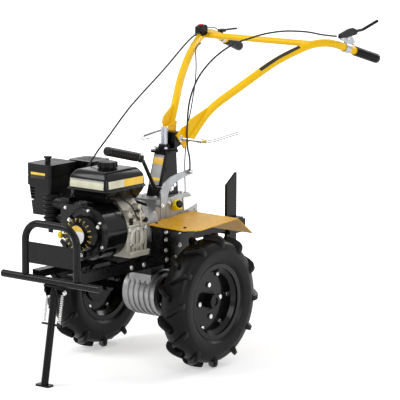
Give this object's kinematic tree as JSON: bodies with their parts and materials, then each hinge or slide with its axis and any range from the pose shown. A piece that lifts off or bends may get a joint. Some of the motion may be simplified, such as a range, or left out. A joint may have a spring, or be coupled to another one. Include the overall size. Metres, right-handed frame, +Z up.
{
  "type": "walking tractor",
  "caption": "Two-wheel walk-behind tractor: petrol engine ahead of a gear drive, lugged field tyres, fenders, front bumper and stand, long yellow handlebar.",
  "frame": {"origin": "on the ground under the middle of the overall length, on the machine's centre plane", "axes": "+X to the machine's left, +Y to its rear where the operator walks, +Z up; the wheel axle lies along X at y = -0.176 m, z = 0.248 m"},
  "size_m": [0.7108, 1.5935, 1.2116],
  "materials": {
    "tyre_rubber": "matt black moulded rubber",
    "black_metal": "satin black paint",
    "yellow_metal": "bright yellow gloss paint",
    "casting": "silver-grey sand-cast aluminium",
    "engine_casting": "pale die-cast aluminium",
    "zinc": "bright zinc plating",
    "black_plastic": "black moulded plastic",
    "grip_rubber": "matt black rubber",
    "cable_plastic": "black cable sheath"
  },
  "bodies": {
    "chassis": {"air_filter": "black_plastic", "bearing_covers": "black_metal", "bumper_hoop": "black_metal", "bumper_plate": "black_metal", "cable_bracket": "zinc", "cables_lower": "cable_plastic", "carburettor": "engine_casting", "clutch_arm": "zinc", "coulter_bar": "black_metal", "cross_tube": "black_metal", "cylinder": "casting", "drive_case": "casting", "engine_block": "engine_casting", "engine_mounts": "black_metal", "fan_shroud": "black_metal", "fender_brackets": "black_metal", "fenders": "yellow_metal", "frame_rails": "black_metal", "fuel_cap": "black_plastic", "fuel_tank": "black_metal", "gear_lever": "black_metal", "gear_lever_grip": "grip_rubber", "gearbox": "casting", "hitch_bar": "black_metal", "muffler": "black_metal", "oil_filler": "yellow_metal", "recoil_starter": "black_metal", "stand_bracket": "black_metal", "steering_column": "black_metal"},
    "wheel_left": {"tyre_left": "tyre_rubber", "rim_left": "black_metal", "hub_left": "black_metal", "axle_stub_left": "zinc"},
    "wheel_right": {"tyre_right": "tyre_rubber", "rim_right": "black_metal", "hub_right": "black_metal", "axle_stub_right": "zinc"},
    "stand": {"stand_leg": "black_metal", "stand_springs": "zinc"},
    "swing_head": {"steering_head": "black_metal", "lock_bolt": "zinc", "lock_lever": "zinc"},
    "handlebar": {"handle_tubes": "yellow_metal", "tilt_bolt": "zinc", "grips": "grip_rubber", "control_box": "black_plastic", "clutch_lever": "black_plastic", "throttle_lever": "black_plastic", "lever_brackets": "zinc", "cables_upper": "cable_plastic"}
  },
  "joints": [
    {"name": "wheel_left_spin", "type": "hinge", "parent": "chassis", "child": "wheel_left", "pos_m": [0.265, -0.176, 0.248], "axis": [1, 0, 0], "continuous": true},
    {"name": "wheel_right_spin", "type": "hinge", "parent": "chassis", "child": "wheel_right", "pos_m": [-0.265, -0.176, 0.248], "axis": [1, 0, 0], "continuous": true},
    {"name": "stand_fold", "type": "hinge", "parent": "chassis", "child": "stand", "pos_m": [0, -0.721, 0.334], "axis": [1, 0, 0], "range_deg": [0, 75]},
    {"name": "handlebar_swing", "type": "hinge", "parent": "chassis", "child": "swing_head", "pos_m": [0, -0.106, 0.78], "axis": [0, 0, 1], "range_deg": [-30, 30], "deforming": ["cables_lower"]},
    {"name": "handlebar_height", "type": "hinge", "parent": "swing_head", "child": "handlebar", "pos_m": [0, -0.058, 0.812], "axis": [1, 0, 0], "range_deg": [-15, 15], "deforming": ["cables_upper"]}
  ]
}
